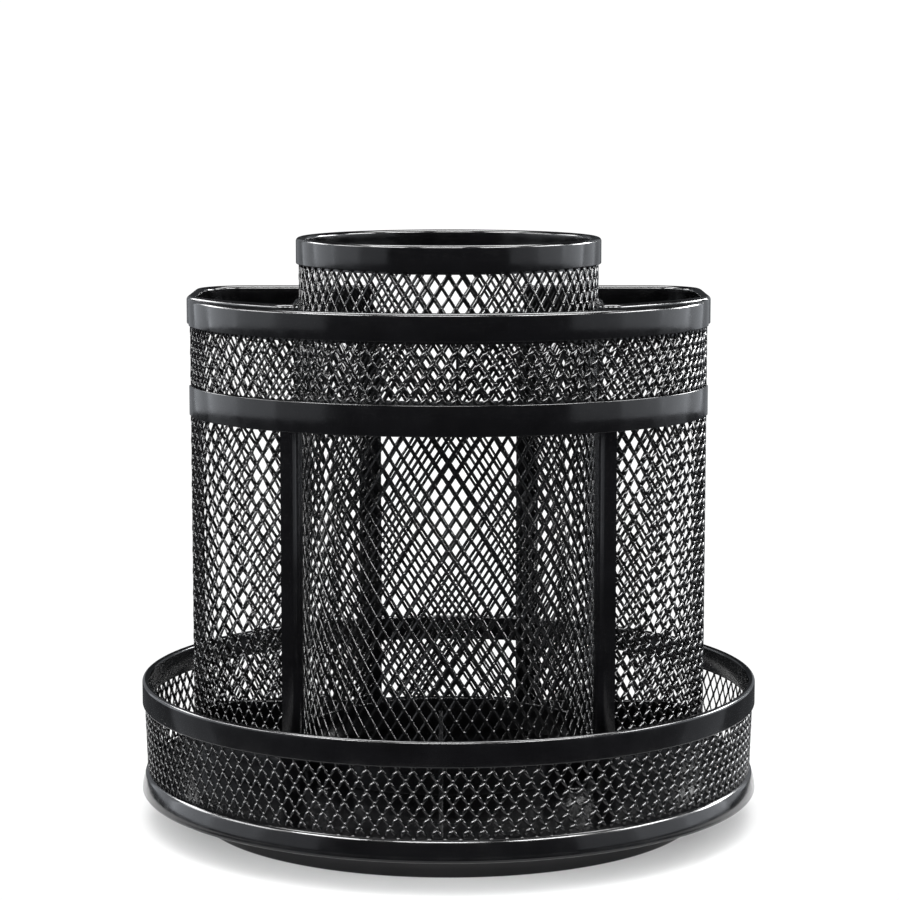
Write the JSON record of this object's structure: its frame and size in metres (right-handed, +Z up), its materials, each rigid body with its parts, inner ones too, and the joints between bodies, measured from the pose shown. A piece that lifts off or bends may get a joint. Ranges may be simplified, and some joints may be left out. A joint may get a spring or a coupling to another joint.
{
  "type": "rotating desk organizer",
  "caption": "Rotating desk organizer in black expanded metal: round tray on a ball-bearing foot with a tall cup, side bins and a front shelf.",
  "frame": {"origin": "centre of the foot on the desk surface", "axes": "+Z up, front shelf faces -Y, +X to the right seen from the front"},
  "size_m": [0.1776, 0.1776, 0.1674],
  "materials": {
    "black_coated_steel": "gloss",
    "black_expanded_metal": "gloss",
    "black_rubber": "matte",
    "zinc_steel": "satin",
    "rivet_steel": "satin",
    "bearing_steel": "gloss",
    "white_nylon": "matte"
  },
  "bodies": {
    "foot": {"foot_dish": "black_coated_steel", "rubber_feet": "black_rubber", "lower_race": "zinc_steel", "lower_race_rivets": "rivet_steel", "pivot_bushing": "white_nylon"},
    "bearing": {"ball_cage": "white_nylon", "bearing_balls": "bearing_steel"},
    "rotor": {"bin_base_strip_left": "black_coated_steel", "bin_base_strip_right": "black_coated_steel", "bin_mesh_left": "black_expanded_metal", "bin_mesh_right": "black_expanded_metal", "bin_rim_left": "black_coated_steel", "bin_rim_right": "black_coated_steel", "cup_base_ring": "black_coated_steel", "cup_mesh": "black_expanded_metal", "cup_rim": "black_coated_steel", "front_post_left": "black_coated_steel", "front_post_right": "black_coated_steel", "pin_retainer": "rivet_steel", "pivot_pin": "black_coated_steel", "rear_post_left": "black_coated_steel", "rear_post_right": "black_coated_steel", "shelf_divider": "black_coated_steel", "shelf_mesh": "black_expanded_metal", "shelf_pan": "black_coated_steel", "shelf_rim": "black_coated_steel", "tray_divider": "black_coated_steel", "tray_mesh": "black_expanded_metal", "tray_pan": "black_coated_steel", "tray_rim": "black_coated_steel", "upper_race": "zinc_steel", "upper_race_rivets": "black_coated_steel"}
  },
  "joints": [
    {"name": "tray_spin", "type": "hinge", "parent": "foot", "child": "rotor", "pos_m": [0, 0, 0.01115], "axis": [0, 0, 1], "continuous": true},
    {"name": "cage_spin", "type": "hinge", "parent": "foot", "child": "bearing", "pos_m": [0, 0, 0.01115], "axis": [0, 0, 1], "continuous": true}
  ],
  "couplings": [
    {"joint": "cage_spin", "follows": "tray_spin", "ratio": 0.5}
  ]
}
